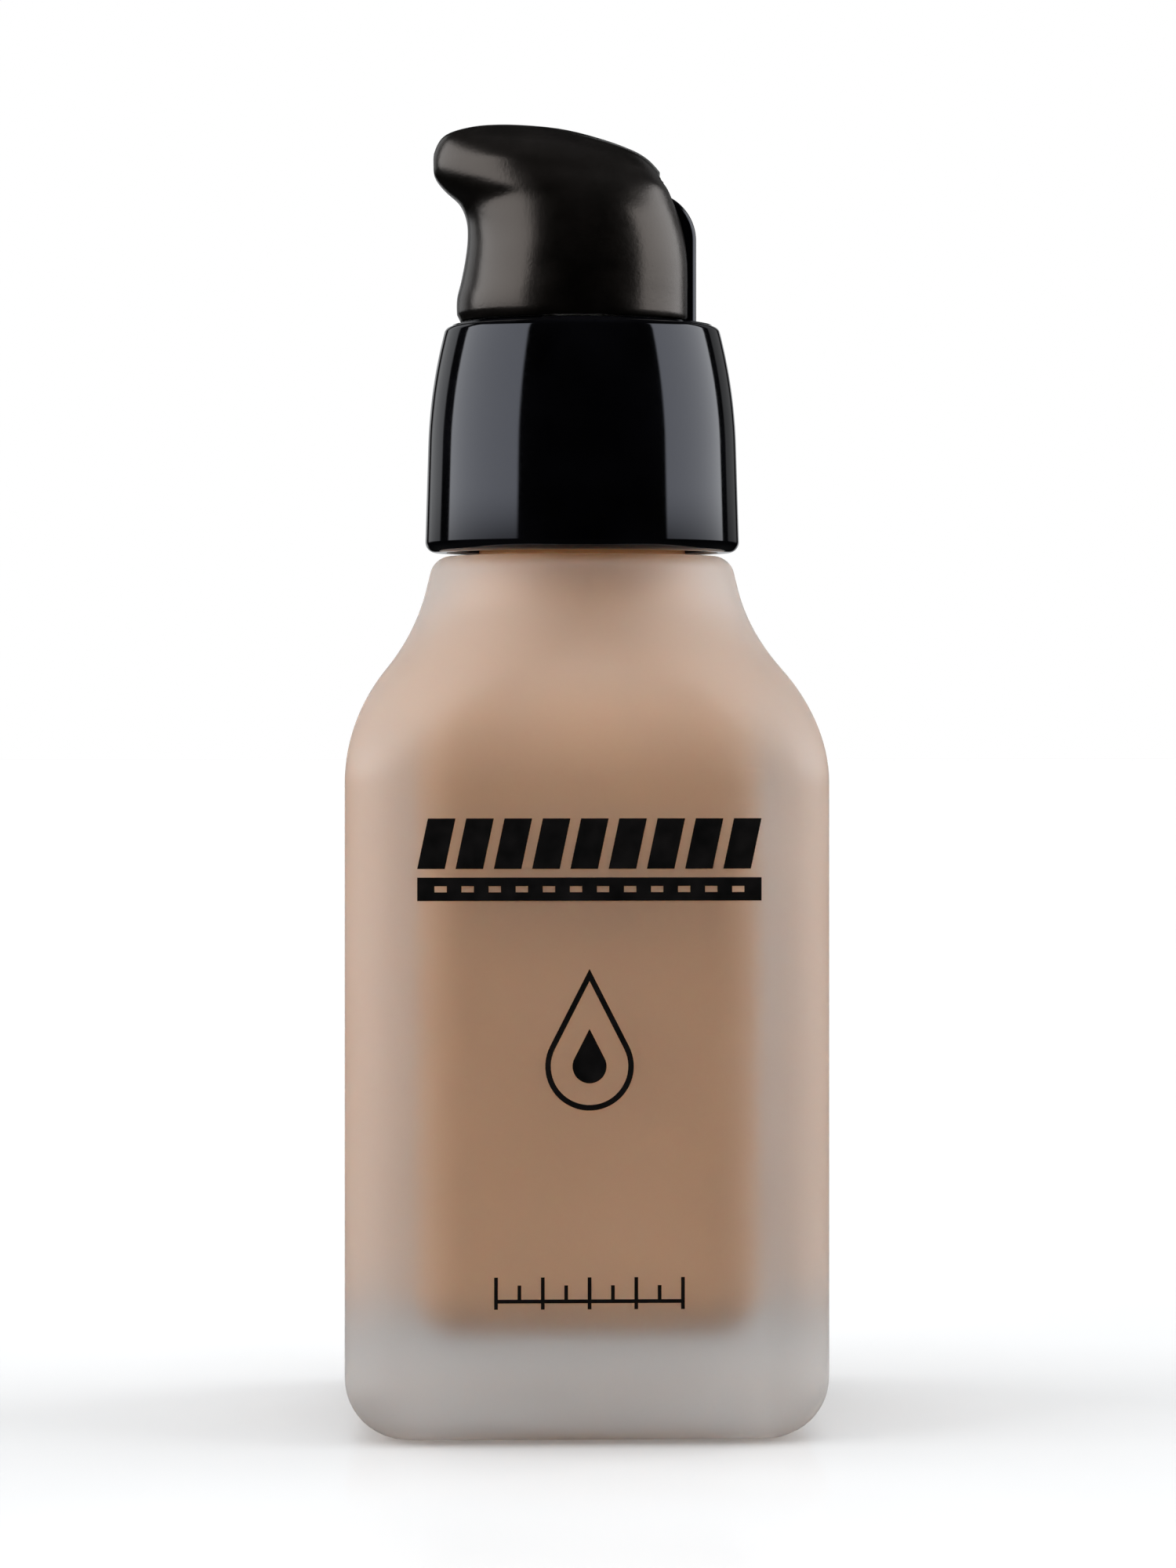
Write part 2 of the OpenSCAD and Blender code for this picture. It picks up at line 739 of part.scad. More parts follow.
// The hollow, which leaves a wall round the guard's slot
module actuator_hollow() {
    difference() {
        translate([0, 0, -eps])
            loft([for (k = [0 : hollow_rings - 1]) actuator_ring(ACTUATOR_RINGS[k], actuator_wall)]);
        guard_slot(actuator_wall);
    }
}

module guard_slot(grow) {
    gap = visible_gap + grow;
    translate([guard_back_x - gap, -guard_w / 2 - gap, actuator_z - 1])
        cube([skirt_r, guard_w + 2 * gap, actuator_h + 2]);
}

module actuator_shell() {
    color(matte_black)
        difference() {
            actuator_outside();
            actuator_hollow();
            guard_slot(0);
            rod(spigot_r, ceiling_z - 1, ceiling_z + spigot_h);
            rod(stem_bore_r, ceiling_z, beak_z);
            translate([0, 0, beak_z])
                rotate([0, -90, 0])
                    cylinder(r = channel_r, h = beak_reach);
            translate([channel_end_x, 0, beak_z])
                rotate([0, -90, 0])
                    cylinder(r = nozzle_r, h = beak_reach);
        }
}

module actuator_core() {
    color(natural_plastic)
        difference() {
            union() {
                rod(core_r, core_z, ceiling_z);
                rod(spigot_r, ceiling_z - eps, ceiling_z + spigot_h);
            }
            rod(stem_r, core_z - 1, stem_top_z);
            rod(stem_bore_r, stem_top_z - eps, ceiling_z + spigot_h + 1);
        }
}

module nozzle_insert() {
    color(gloss_black)
        translate([channel_end_x, 0, beak_z])
            rotate([0, -90, 0])
                difference() {
                    cylinder(r = nozzle_r, h = nozzle_len);
                    translate([0, 0, -1])
                        cylinder(r = orifice_r, h = nozzle_len + 2);
                }
}

bottle();
foundation_fill();
front_print();
dip_tube();
pump_housing();
inlet_ball();
return_spring();
piston();
piston_seat();
stem();
housing_lock_ring();
neck_gasket();
screw_closure();
collar_shell();
actuator_shell();
actuator_core();
nozzle_insert();
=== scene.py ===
"""Looks of the foundation bottle: frosted glass, liquid, ink, glossy collar and matte push head.

Lengths are in millimetres until MM turns them into metres, in the frame of the CAD model.
"""
import math

import bmesh
import bpy
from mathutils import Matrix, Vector


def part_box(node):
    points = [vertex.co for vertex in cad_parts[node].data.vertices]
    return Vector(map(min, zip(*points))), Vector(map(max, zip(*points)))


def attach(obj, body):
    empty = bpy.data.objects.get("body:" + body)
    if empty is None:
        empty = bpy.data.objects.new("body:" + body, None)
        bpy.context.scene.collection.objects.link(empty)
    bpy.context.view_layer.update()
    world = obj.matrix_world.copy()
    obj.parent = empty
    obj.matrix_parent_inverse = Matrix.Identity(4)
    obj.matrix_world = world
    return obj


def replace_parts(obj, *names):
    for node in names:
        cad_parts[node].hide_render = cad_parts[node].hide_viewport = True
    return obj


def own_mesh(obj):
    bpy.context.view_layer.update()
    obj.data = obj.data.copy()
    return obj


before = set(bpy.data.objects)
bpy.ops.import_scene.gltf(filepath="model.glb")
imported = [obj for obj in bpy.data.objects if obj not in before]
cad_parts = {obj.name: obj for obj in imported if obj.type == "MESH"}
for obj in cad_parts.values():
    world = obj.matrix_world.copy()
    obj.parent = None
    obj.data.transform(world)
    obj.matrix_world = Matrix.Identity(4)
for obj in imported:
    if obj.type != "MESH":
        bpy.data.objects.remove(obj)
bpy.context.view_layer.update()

MM = 0.001


def low(node):
    """Lowest corner of a CAD node, in millimetres."""
    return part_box(node)[0] / MM


def high(node):
    """Highest corner of a CAD node, in millimetres."""
    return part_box(node)[1] / MM


# ---------------------------------------------------------------- sizes shared with the CAD model
# Glass: the outside, the cavity and the neck with its thread.
HALF_W = high("bottle").x
RIM_Z = high("bottle").z
EDGE_R = 6.0
BASE_EDGE_R = 5.0
STRAIGHT_H = 54.0
SHOULDER_R = 15.0
WAIST_R = 17.6
LIP_OUT = 4.53
LIP_LEAN = 14.0
LIP_FLANK_H = 1.5
LIP_EDGE_R = 1.8
WALL = 5.5
BASE_T = 8.4
CAVITY_EDGE_R = 4.5
CAVITY_FLOOR_R = 4.0
PUNT_R = 12.0
PUNT_DEPTH = 0.8
SMALL_EDGE_R = 0.3
NECK_R = 8.8
NECK_BORE_R = 7.3
THREAD_PITCH = 3.175
THREAD_H = 1.05
THREAD_TURNS = 1.5
THREAD_ROOT_W = 1.9
THREAD_CREST_W = 0.9
THREAD_TOP_DROP = 2.0

# Collar, with the rear guard that belongs to it, and the screw closure under it.
COLLAR_Z = low("collar_shell").z
COLLAR_FOOT_R = 0.9
COLLAR_LEAN = 1.7
COLLAR_WALL_H = 8.2
COLLAR_CROWN_R = 44.0
COLLAR_RIM_R = 0.6
COLLAR_RIM_W = 0.25
COLLAR_LIP_T = 1.0
UPPER_BORE_OUT = 0.15
VISIBLE_GAP = 0.3
MOUTH_GAP = 0.25
CLOSURE_TOP_Z = high("screw_closure").z
CLOSURE_R = high("screw_closure").x
GUARD_W = 5.4
GUARD_T = 3.0
GUARD_INSET = 1.05
GUARD_TOP_R = 4.2
GUARD_TOP_Z = high("collar_shell").z

# Push head, its outlet, and the parts of the pump that the liquid goes round.
ACTUATOR_Z = low("actuator_shell").z
BEAK_Z = (low("nozzle_insert").z + high("nozzle_insert").z) / 2
SKIRT_FRONT_OUT = 1.25
ACTUATOR_WALL = 1.1
OUTLET_R = high("nozzle_insert").y
OUTLET_HOLE_R = 0.5
CHAMBER_OUT_R = 5.0
CHAMBER_FLOOR_T = 1.0
TUBE_SOCKET_R = 3.0


# ---------------------------------------------------------------- mesh helpers
def arc(centre, radius, start, end, steps=8):
    """Points on an arc from angle start to angle end, in degrees."""
    angles = [math.radians(start + (end - start) * i / steps) for i in range(steps + 1)]
    return [(centre[0] + radius * math.cos(a), centre[1] + radius * math.sin(a)) for a in angles]


def ease(x, start, end):
    """0 below start, 1 above end, and an easy change between them."""
    t = min(1.0, max(0.0, (x - start) / (end - start)))
    return t * t * (3 - 2 * t)


def loft(rings, close=False):
    """Vertices and faces of a skin over rings of equally many points.

    The skin is capped at both ends, or with close it goes on from the last ring to the first.
    """
    count = len(rings[0])
    verts = [p for ring in rings for p in ring]
    faces = []
    spans = len(rings) if close else len(rings) - 1
    for k in range(spans):
        here, there = k * count, (k + 1) % len(rings) * count
        for i in range(count):
            j = (i + 1) % count
            faces.append((here + i, here + j, there + j, there + i))
    if not close:
        faces.append(tuple(range(count - 1, -1, -1)))
        faces.append(tuple(range(len(verts) - count, len(verts))))
    return verts, faces


def piece(name, shape, body, materials, sharp=40):
    """A smooth-shaded mesh object that rides on a CAD body."""
    verts, faces = shape
    mesh = bpy.data.meshes.new(name)
    mesh.from_pydata([Vector(v) * MM for v in verts], [], faces)
    obj = bpy.data.objects.new(name, mesh)
    bpy.context.scene.collection.objects.link(obj)
    bm = bmesh.new()
    bm.from_mesh(mesh)
    bmesh.ops.remove_doubles(bm, verts=bm.verts, dist=1e-6)
    bmesh.ops.recalc_face_normals(bm, faces=bm.faces)
    bm.to_mesh(mesh)
    bm.free()
    for material in materials:
        mesh.materials.append(material)
    mesh.shade_smooth()
    mesh.set_sharp_from_angle(angle=math.radians(sharp))
    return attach(obj, body)


def turns_of(count):
    """Angles of count even steps round a full turn, in radians."""
    return [2 * math.pi * i / count for i in range(count)]


def revolve(outline, count):
    """A closed outline of (radius, height) points turned about Z."""
    rings = [[(r * math.cos(a), r * math.sin(a), z) for a in turns_of(count)] for r, z in outline]
    return loft(rings, close=True)


def outlet_ring(x, radius, count):
    """A ring about the axis of the outlet, which runs along X through the beak."""
    return [(x, radius * math.cos(a), BEAK_Z + radius * math.sin(a)) for a in turns_of(count)]


def tube_along(points, radius, sides):
    """A round wire swept about Z along points, with flat ends."""
    rings = []
    for x, y, z in points:
        out = Vector((x, y, 0)).normalized()
        up = Vector((0, 0, 1))
        rings.append([
            tuple(Vector((x, y, z)) + radius * (math.cos(a) * out + math.sin(a) * up))
            for a in turns_of(sides)
        ])
    return loft(rings)


# ---------------------------------------------------------------- material helpers
def new_material(name, **constants):
    """A material with a Principled shader whose plain values are set on its own sockets."""
    material = bpy.data.materials.new(name)
    material.use_nodes = True
    shader = material.node_tree.nodes["Principled BSDF"]
    for socket, value in constants.items():
        shader.inputs[socket.replace("_", " ")].default_value = value
    return material, material.node_tree, shader


def add_noise(tree, scale, detail=3.0, roughness=0.5, stretch=(1, 1, 1)):
    """Noise in object space. scale is in features per metre."""
    coords = tree.nodes.new("ShaderNodeTexCoord")
    mapping = tree.nodes.new("ShaderNodeMapping")
    mapping.inputs["Scale"].default_value = stretch
    texture = tree.nodes.new("ShaderNodeTexNoise")
    texture.inputs["Scale"].default_value = scale
    texture.inputs["Detail"].default_value = detail
    texture.inputs["Roughness"].default_value = roughness
    tree.links.new(coords.outputs["Object"], mapping.inputs["Vector"])
    tree.links.new(mapping.outputs["Vector"], texture.inputs["Vector"])
    return texture.outputs["Fac"]


def vary_colour(tree, shader, fac, dark, light):
    """Base colour between dark and light, as fac goes up."""
    ramp = tree.nodes.new("ShaderNodeValToRGB")
    ramp.color_ramp.elements[0].position = 0.3
    ramp.color_ramp.elements[0].color = (*dark, 1)
    ramp.color_ramp.elements[1].position = 0.7
    ramp.color_ramp.elements[1].color = (*light, 1)
    tree.links.new(fac, ramp.inputs["Fac"])
    tree.links.new(ramp.outputs["Color"], shader.inputs["Base Color"])


def vary_roughness(tree, shader, fac, least, most):
    """Roughness between least and most, as fac goes up."""
    spread = tree.nodes.new("ShaderNodeMapRange")
    spread.inputs["From Min"].default_value = 0.3
    spread.inputs["From Max"].default_value = 0.7
    spread.inputs["To Min"].default_value = least
    spread.inputs["To Max"].default_value = most
    tree.links.new(fac, spread.inputs["Value"])
    tree.links.new(spread.outputs["Result"], shader.inputs["Roughness"])


def add_bump(tree, shader, fac, depth_mm, strength):
    """A surface that rises by depth_mm, as fac goes up."""
    bump = tree.nodes.new("ShaderNodeBump")
    bump.inputs["Strength"].default_value = strength
    bump.inputs["Distance"].default_value = depth_mm * MM
    tree.links.new(fac, bump.inputs["Height"])
    tree.links.new(bump.outputs["Normal"], shader.inputs["Normal"])


# ---------------------------------------------------------------- materials
def frosted_glass():
    """Acid-frosted glass: most light passes, blurred by a fine even tooth, and some is scattered back."""
    material, tree, shader = new_material("frosted_glass", Transmission_Weight=0.94, IOR=1.5)
    cloud = add_noise(tree, 90, detail=4)
    vary_colour(tree, shader, cloud, (0.93, 0.925, 0.915), (0.98, 0.975, 0.965))
    vary_roughness(tree, shader, cloud, 0.55, 0.61)
    tooth = add_noise(tree, 7000, detail=2)
    add_bump(tree, shader, tooth, 0.006, 0.5)
    return material


def clear_glass():
    """Glass of the neck and the inside, as it leaves the mould."""
    material, tree, shader = new_material("clear_glass", Transmission_Weight=1.0, IOR=1.5)
    cloud = add_noise(tree, 120, detail=3)
    vary_colour(tree, shader, cloud, (0.96, 0.965, 0.96), (0.99, 0.99, 0.985))
    vary_roughness(tree, shader, cloud, 0.02, 0.06)
    waves = add_noise(tree, 160, detail=1)
    add_bump(tree, shader, waves, 0.05, 0.3)
    return material


def liquid_foundation():
    """Creamy opaque liquid."""
    material, tree, shader = new_material(
        "liquid_foundation", Specular_IOR_Level=0.3, Subsurface_Weight=0.15, Subsurface_Scale=0.002)
    swirl = add_noise(tree, 45, detail=3, stretch=(1, 1, 0.6))
    vary_colour(tree, shader, swirl, (0.72, 0.395, 0.19), (0.77, 0.425, 0.21))
    vary_roughness(tree, shader, swirl, 0.35, 0.45)
    return material


def black_ink():
    """Screen-printed ink with a faint mesh texture and slightly uneven gloss."""
    material, tree, shader = new_material("black_ink", Specular_IOR_Level=0.2)
    patches = add_noise(tree, 500, detail=4)
    vary_colour(tree, shader, patches, (0.002, 0.002, 0.002), (0.006, 0.005, 0.005))
    vary_roughness(tree, shader, patches, 0.30, 0.42)
    mesh_marks = add_noise(tree, 9000, detail=1)
    add_bump(tree, shader, mesh_marks, 0.004, 0.4)
    return material


def gloss_black():
    """Glossy moulded plastic with the slight waviness of a thick part."""
    material, tree, shader = new_material(
        "gloss_black", IOR=1.52, Specular_Tint=(0.84, 0.87, 1.0, 1.0))
    cloud = add_noise(tree, 140, detail=3)
    vary_colour(tree, shader, cloud, (0.0004, 0.0004, 0.0005), (0.0015, 0.0015, 0.002))
    haze = add_noise(tree, 2600, detail=4)
    vary_roughness(tree, shader, haze, 0.045, 0.075)
    waves = add_noise(tree, 130, detail=1)
    add_bump(tree, shader, waves, 0.02, 0.15)
    return material


def soft_touch_black():
    """Matte soft-touch coating with a fine grain, rubbed a little smoother in patches."""
    material, tree, shader = new_material(
        "soft_touch_black", IOR=1.55, Specular_Tint=(1.0, 0.88, 0.8, 1.0))
    cloud = add_noise(tree, 260, detail=6, roughness=0.65)
    vary_colour(tree, shader, cloud, (0.0006, 0.0005, 0.0004), (0.0018, 0.0014, 0.0012))
    vary_roughness(tree, shader, cloud, 0.17, 0.23)
    grain = add_noise(tree, 3000, detail=5, roughness=0.65)
    add_bump(tree, shader, grain, 0.03, 0.45)
    return material


def moulded_plastic(name, dark, light, rough):
    """Plain moulded plastic of the pump's hidden parts, with faint flow marks."""
    material, tree, shader = new_material(name)
    flow = add_noise(tree, 350, detail=3, stretch=(1, 1, 0.25))
    vary_colour(tree, shader, flow, dark, light)
    vary_roughness(tree, shader, flow, rough, rough + 0.1)
    grain = add_noise(tree, 4000, detail=2)
    add_bump(tree, shader, grain, 0.005, 0.3)
    return material


def drawn_steel():
    """Stainless wire and ball, with fine drawing marks."""
    material, tree, shader = new_material("drawn_steel", Metallic=1.0)
    marks = add_noise(tree, 2500, detail=4, stretch=(1, 1, 0.2))
    vary_colour(tree, shader, marks, (0.55, 0.555, 0.56), (0.66, 0.665, 0.67))
    vary_roughness(tree, shader, marks, 0.18, 0.3)
    add_bump(tree, shader, marks, 0.002, 0.3)
    return material


def gasket_foam():
    """Closed-cell foam of the sealing liner."""
    material, tree, shader = new_material("gasket_foam")
    cells = add_noise(tree, 3500, detail=3)
    vary_colour(tree, shader, cells, (0.74, 0.74, 0.72), (0.84, 0.84, 0.82))
    vary_roughness(tree, shader, cells, 0.7, 0.85)
    add_bump(tree, shader, cells, 0.03, 0.6)
    return material


FROSTED = frosted_glass()
CLEAR = clear_glass()
LIQUID = liquid_foundation()
INK = black_ink()
GLOSS_BLACK = gloss_black()
SOFT_BLACK = soft_touch_black()
WHITE_PLASTIC = moulded_plastic("white_plastic", (0.70, 0.70, 0.68), (0.78, 0.78, 0.76), 0.3)
NATURAL_PLASTIC = moulded_plastic("natural_plastic", (0.66, 0.66, 0.62), (0.76, 0.76, 0.72), 0.22)
BLACK_PLASTIC = moulded_plastic("black_plastic", (0.006, 0.006, 0.006), (0.014, 0.014, 0.014), 0.35)
STEEL = drawn_steel()
FOAM = gasket_foam()

# ---------------------------------------------------------------- glass
# Points of a ring: steps round each corner, and places along each flat side as shares of its half.
CORNER_STEPS = 22
FLAT_SHARES = (-0.94, -0.6, -0.2, 0.2, 0.6, 0.94)
LEAST_FLAT = 0.02
LIQUID_OVERLAP = 0.04
MENISCUS = 0.5

shoulder_c = (HALF_W - SHOULDER_R, STRAIGHT_H)
waist_c_x = NECK_R + LIP_OUT + WAIST_R * math.cos(math.radians(LIP_LEAN))
SHOULDER_LEAN = math.degrees(math.acos((waist_c_x - shoulder_c[0]) / (SHOULDER_R + WAIST_R)))
lean = (math.cos(math.radians(SHOULDER_LEAN)), math.sin(math.radians(SHOULDER_LEAN)))
waist_c = tuple(c + (SHOULDER_R + WAIST_R) * d for c, d in zip(shoulder_c, lean))
lip_dir = (math.cos(math.radians(LIP_LEAN)), math.sin(math.radians(LIP_LEAN)))
flank_foot = tuple(c - WAIST_R * d for c, d in zip(waist_c, lip_dir))
flank_top = (flank_foot[0] - LIP_FLANK_H * math.tan(math.radians(LIP_LEAN)), flank_foot[1] + LIP_FLANK_H)
lip_c = tuple(c - LIP_EDGE_R * d for c, d in zip(flank_top, lip_dir))
GLASS_TOP_Z = lip_c[1] + LIP_EDGE_R
ROUND_Z = flank_foot[1]


def flat_at(z, full):
    """Half the length of the flat side at height z: it shrinks to nothing where the neck turns round."""
    return max(LEAST_FLAT, full * (1 - ease(z, STRAIGHT_H, ROUND_Z)))


def square_ring(w, z, flat):
    """A square of half width w with round corners and flat sides of half length flat, at height z."""
    ring = []
    for quarter, (sx, sy) in enumerate(((1, 1), (-1, 1), (-1, -1), (1, -1))):
        for i in range(CORNER_STEPS + 1):
            a = math.radians(90 * (quarter + i / CORNER_STEPS))
            ring.append((flat * sx + (w - flat) * math.cos(a), flat * sy + (w - flat) * math.sin(a), z))
        along = Vector((-math.sin(a), math.cos(a)))
        out = Vector((math.cos(a), math.sin(a)))
        for share in FLAT_SHARES:
            p = w * out + share * flat * along
            ring.append((p.x, p.y, z))
    return ring


def cavity_outline(overlap=0.0):
    """The cavity from its floor up to the neck's bore, as half width and height."""
    half_w = HALF_W - WALL + overlap
    floor_z = BASE_T - overlap
    foot = tuple(c - (WAIST_R + WALL - overlap) * d for c, d in zip(waist_c, lip_dir))
    bore = NECK_BORE_R + overlap
    top_z = foot[1] + (foot[0] - bore) / math.tan(math.radians(LIP_LEAN))
    middle_w = 4.0
    return (
        [(middle_w, floor_z)]
        + arc((half_w - CAVITY_FLOOR_R, floor_z + CAVITY_FLOOR_R), CAVITY_FLOOR_R, -90, 0, 9)
        + [(half_w, z) for z in (13.0, 24.0, 40.0, 53.0)]
        + arc(shoulder_c, SHOULDER_R - WALL + overlap, 0, SHOULDER_LEAN, 12)
        + arc(waist_c, WAIST_R + WALL - overlap, 180 + SHOULDER_LEAN, 180 + LIP_LEAN, 9)[1:]
        + [(bore, top_z)]
    )


def glass_outline():
    """The outside, from the recess under the base up to the top of the shoulder."""
    edge = SMALL_EDGE_R
    return (
        [(PUNT_R / 2, PUNT_DEPTH), (PUNT_R - edge, PUNT_DEPTH)]
        + arc((PUNT_R + edge, edge), edge, 180, 270, 3)
        + arc((HALF_W - BASE_EDGE_R, BASE_EDGE_R), BASE_EDGE_R, -90, 0, 12)
        + [(HALF_W, z) for z in (5.4, 18.0, 30.0, 42.0, 53.6)]
        + arc(shoulder_c, SHOULDER_R, 0, SHOULDER_LEAN, 16)
        + arc(waist_c, WAIST_R, 180 + SHOULDER_LEAN, 180 + LIP_LEAN, 10)[1:]
        + arc(lip_c, LIP_EDGE_R, LIP_LEAN, 90, 9)
    )


def outline_flat(w, z, full):
    """A round recess below the side's foot, and the square's flat above it."""
    return LEAST_FLAT if w < HALF_W - BASE_EDGE_R and z < BASE_EDGE_R else flat_at(z, full)


def cavity_rings(overlap=0.0, top=math.inf):
    """Rings of the cavity's surface from its floor up to the height top."""
    full_flat = HALF_W - WALL - CAVITY_EDGE_R
    least_corner_r = 0.5
    return [
        square_ring(w, z, min(w - least_corner_r, flat_at(z, full_flat)))
        for w, z in cavity_outline(overlap) if z < top
    ]


def is_clear(face):
    """Whether a face of the bottle is on the neck or in the cavity, where the glass isn't frosted."""
    seam, highest = 0.2, ROUND_Z + 2
    centre = face.center / MM
    if centre.z > GLASS_TOP_Z + seam / 4:
        return True
    if not BASE_T - seam / 2 < centre.z < highest:
        return False
    if max(abs(centre.x), abs(centre.y)) > HALF_W - WALL + seam:
        return False
    radius = math.hypot(centre.x, centre.y)
    return centre.z < STRAIGHT_H or radius < cavity_reach(centre.z) + WALL / 2


def build_bottle():
    """Outside, neck and inside as one closed glass wall."""
    edge = SMALL_EDGE_R
    outside = [square_ring(w, z, outline_flat(w, z, HALF_W - EDGE_R)) for w, z in glass_outline()]
    neck = (
        arc((NECK_R + edge, GLASS_TOP_Z + edge), edge, 270, 180, 3)
        + arc((NECK_R - edge, RIM_Z - edge), edge, 0, 90, 3)
        + arc((NECK_BORE_R + edge, RIM_Z - edge), edge, 90, 180, 3)
    )
    inside = list(reversed(cavity_rings()))
    rings = outside + [square_ring(r, z, LEAST_FLAT) for r, z in neck] + inside
    bottle = piece("glass_bottle", loft(rings), "glass", [FROSTED, CLEAR], sharp=50)
    for face in bottle.data.polygons:
        face.material_index = 1 if is_clear(face) else 0
    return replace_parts(bottle, "bottle")


def cavity_reach(z):
    """Half width of the cavity at a height in the shoulder, by interpolation of its outline."""
    points = [p for p in cavity_outline() if p[1] >= STRAIGHT_H]
    for (w0, z0), (w1, z1) in zip(points, points[1:]):
        if z0 <= z <= z1 and z1 > z0:
            return w0 + (w1 - w0) * (z - z0) / (z1 - z0)
    return points[-1][0]


def build_thread():
    """The helical ridge round the neck, which fades in and out at its ends."""
    steps_per_turn, sink, fade = 48, 0.3, 30
    end_height_share, chamfer_in, chamfer_along = 0.1, 0.15, 0.1
    root = NECK_R - sink
    start_z = RIM_Z - THREAD_TOP_DROP - THREAD_TURNS * THREAD_PITCH - THREAD_ROOT_W / 2
    full_turn = 360 * THREAD_TURNS
    rings = []
    for i in range(round(THREAD_TURNS * steps_per_turn) + 1):
        turn = 360 * i / steps_per_turn
        rise = end_height_share + (1 - end_height_share) * ease(min(turn, full_turn - turn), 0, fade)
        crest = NECK_R + THREAD_H * rise
        upper_half = [(crest, THREAD_CREST_W / 2 - chamfer_along),
                      (crest - chamfer_in, THREAD_CREST_W / 2 + chamfer_along),
                      (root, THREAD_ROOT_W / 2)]
        corners = [(r, -dz) for r, dz in reversed(upper_half)] + upper_half
        z = start_z + THREAD_PITCH * turn / 360
        a = math.radians(turn)
        rings.append([(r * math.cos(a), r * math.sin(a), z + dz) for r, dz in corners])
    thread = piece("neck_thread", loft(rings), "glass", [CLEAR])
    return thread


def build_liquid():
    """The liquid, which wets the glass and leaves room for the pump."""
    fill_z = high("foundation_fill").z
    neck_w = NECK_BORE_R + LIQUID_OVERLAP
    rings = cavity_rings(LIQUID_OVERLAP, fill_z) + [square_ring(neck_w, fill_z, LEAST_FLAT)]
    gap = 0.06
    chamber_r, socket_r, tube_r = (r + gap for r in (CHAMBER_OUT_R, TUBE_SOCKET_R, high("dip_tube").x))
    chamber_foot = low("return_spring").z - CHAMBER_FLOOR_T - gap
    socket_foot = low("pump_housing").z - gap
    well = [(neck_w - 0.4, fill_z - 0.3 * MENISCUS), (neck_w - 1, fill_z - MENISCUS),
            (chamber_r, fill_z - MENISCUS), (chamber_r, chamber_foot), (socket_r, chamber_foot),
            (socket_r, socket_foot), (tube_r, socket_foot), (tube_r, low("dip_tube").z - gap)]
    rings += [square_ring(r, z, LEAST_FLAT) for r, z in well]
    liquid = piece("foundation_liquid", loft(rings), "glass", [LIQUID], sharp=50)
    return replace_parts(liquid, "foundation_fill")


# ---------------------------------------------------------------- collar and guard
# The wall leans in, then a long round crown takes it to the rim round the mouth.
collar_r = high("collar_shell").x
crown_z = COLLAR_Z + COLLAR_FOOT_R + COLLAR_WALL_H
crown_foot_r = collar_r - COLLAR_WALL_H * math.tan(math.radians(COLLAR_LEAN))
crown_c = (crown_foot_r - COLLAR_CROWN_R * math.cos(math.radians(COLLAR_LEAN)),
           crown_z - COLLAR_CROWN_R * math.sin(math.radians(COLLAR_LEAN)))
COLLAR_TOP_Z = ACTUATOR_Z - VISIBLE_GAP
crown_end = math.degrees(math.asin((COLLAR_TOP_Z - COLLAR_RIM_R - crown_c[1]) / COLLAR_CROWN_R))
crown_top = arc(crown_c, COLLAR_CROWN_R, crown_end, crown_end, 1)[0]
rim_c = arc(crown_top, -COLLAR_RIM_R, crown_end, crown_end, 1)[0]
MOUTH_R = rim_c[0] - COLLAR_RIM_W
GUARD_R = MOUTH_R - GUARD_INSET


def build_collar():
    """The glossy shell, open at its foot and at its mouth."""
    foot_c = (collar_r - COLLAR_FOOT_R, COLLAR_Z + COLLAR_FOOT_R)
    lip, chamfer, fit = 0.15, 0.2, 0.02
    bore_r = CLOSURE_R + fit
    upper_bore_r = MOUTH_R + UPPER_BORE_OUT
    outline = (
        [(bore_r, COLLAR_Z + chamfer), (CLOSURE_R + chamfer, COLLAR_Z)]
        + arc(foot_c, COLLAR_FOOT_R, -90, 0, 10)
        + arc(crown_c, COLLAR_CROWN_R, COLLAR_LEAN, crown_end, 24)
        + arc(rim_c, COLLAR_RIM_R, crown_end, 90, 10)[1:]
        + arc((MOUTH_R + lip, COLLAR_TOP_Z - lip), lip, 90, 180, 4)
        + [(MOUTH_R, COLLAR_TOP_Z - COLLAR_LIP_T), (upper_bore_r, COLLAR_TOP_Z - COLLAR_LIP_T),
           (upper_bore_r, CLOSURE_TOP_Z + fit), (bore_r, CLOSURE_TOP_Z + fit)]
    )
    collar = piece("collar_gloss_shell", revolve(outline, 256), "closure", [GLOSS_BLACK])
    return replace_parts(collar, "collar_shell")


def rounded_slab(x0, x1, half_w, radius, z):
    """A rectangle from x0 to x1 with round corners and an outer side bowed like the collar, at height z."""
    steps, most_share = 6, 0.49
    radius = min(radius, most_share * (x1 - x0), most_share * half_w)
    corners = ((x1 - radius, half_w - radius, 0), (x0 + radius, half_w - radius, 90),
               (x0 + radius, -half_w + radius, 180), (x1 - radius, -half_w + radius, 270))
    ring = []
    for cx, cy, start in corners:
        for x, y in arc((cx, cy), radius, start, start + 90, steps):
            bow = (1 - math.sqrt(max(0.0, 1 - (y / GUARD_R) ** 2))) * GUARD_R
            ring.append((x - bow * max(0.0, (x - x0) / (x1 - x0)), y, z))
    return ring


